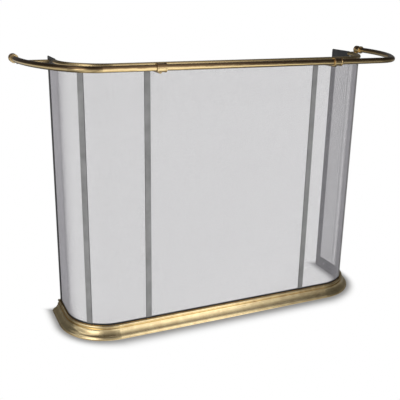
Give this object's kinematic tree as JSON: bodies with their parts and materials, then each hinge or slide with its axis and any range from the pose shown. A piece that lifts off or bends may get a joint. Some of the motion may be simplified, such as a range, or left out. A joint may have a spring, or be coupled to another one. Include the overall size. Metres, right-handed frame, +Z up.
{
  "type": "fireplace screen",
  "caption": "Freestanding fire screen of fine woven wire wrapped round three sides of a hearth, on a brass moulded base, with a brass hand rail carried in front of it on arms.",
  "frame": {"origin": "on the floor, in the middle of the whole screen's width and depth", "axes": "+X to the right seen from the room, +Y towards the wall, +Z up"},
  "size_m": [1.16, 0.337, 0.7885],
  "materials": {
    "polished_brass": "aged polished brass",
    "dull_brass": "darkened brass",
    "dull_steel": "dull grey steel",
    "bright_steel": "plain steel",
    "wire_mesh": "fine woven wire, about half open"
  },
  "bodies": {
    "root": {"base_moulding": "polished_brass", "bottom_channel": "dull_steel", "back_channel_left": "dull_steel", "back_channel_right": "dull_steel", "top_channel_left": "dull_steel", "top_channel_right": "dull_steel", "mesh_center": "wire_mesh", "mesh_front_left": "wire_mesh", "mesh_front_right": "wire_mesh", "mesh_side_left": "wire_mesh", "mesh_side_right": "wire_mesh", "strip_front_left": "dull_steel", "strip_front_right": "dull_steel", "strip_corner_left": "dull_steel", "strip_corner_right": "dull_steel", "backing_front_left": "dull_steel", "backing_front_right": "dull_steel", "backing_corner_left": "dull_steel", "backing_corner_right": "dull_steel", "top_rail": "dull_brass", "hand_rail": "polished_brass", "rail_collar_left": "polished_brass", "rail_collar_right": "polished_brass", "front_arm_left": "dull_brass", "front_arm_right": "dull_brass", "rail_ferrule_left": "polished_brass", "rail_ferrule_right": "polished_brass", "side_arm_left": "dull_brass", "side_arm_right": "dull_brass", "rail_end_cap_left": "polished_brass", "rail_end_cap_right": "polished_brass", "moulding_screws": "bright_steel", "strip_rivets": "bright_steel", "rail_set_screws": "bright_steel"}
  },
  "joints": []
}
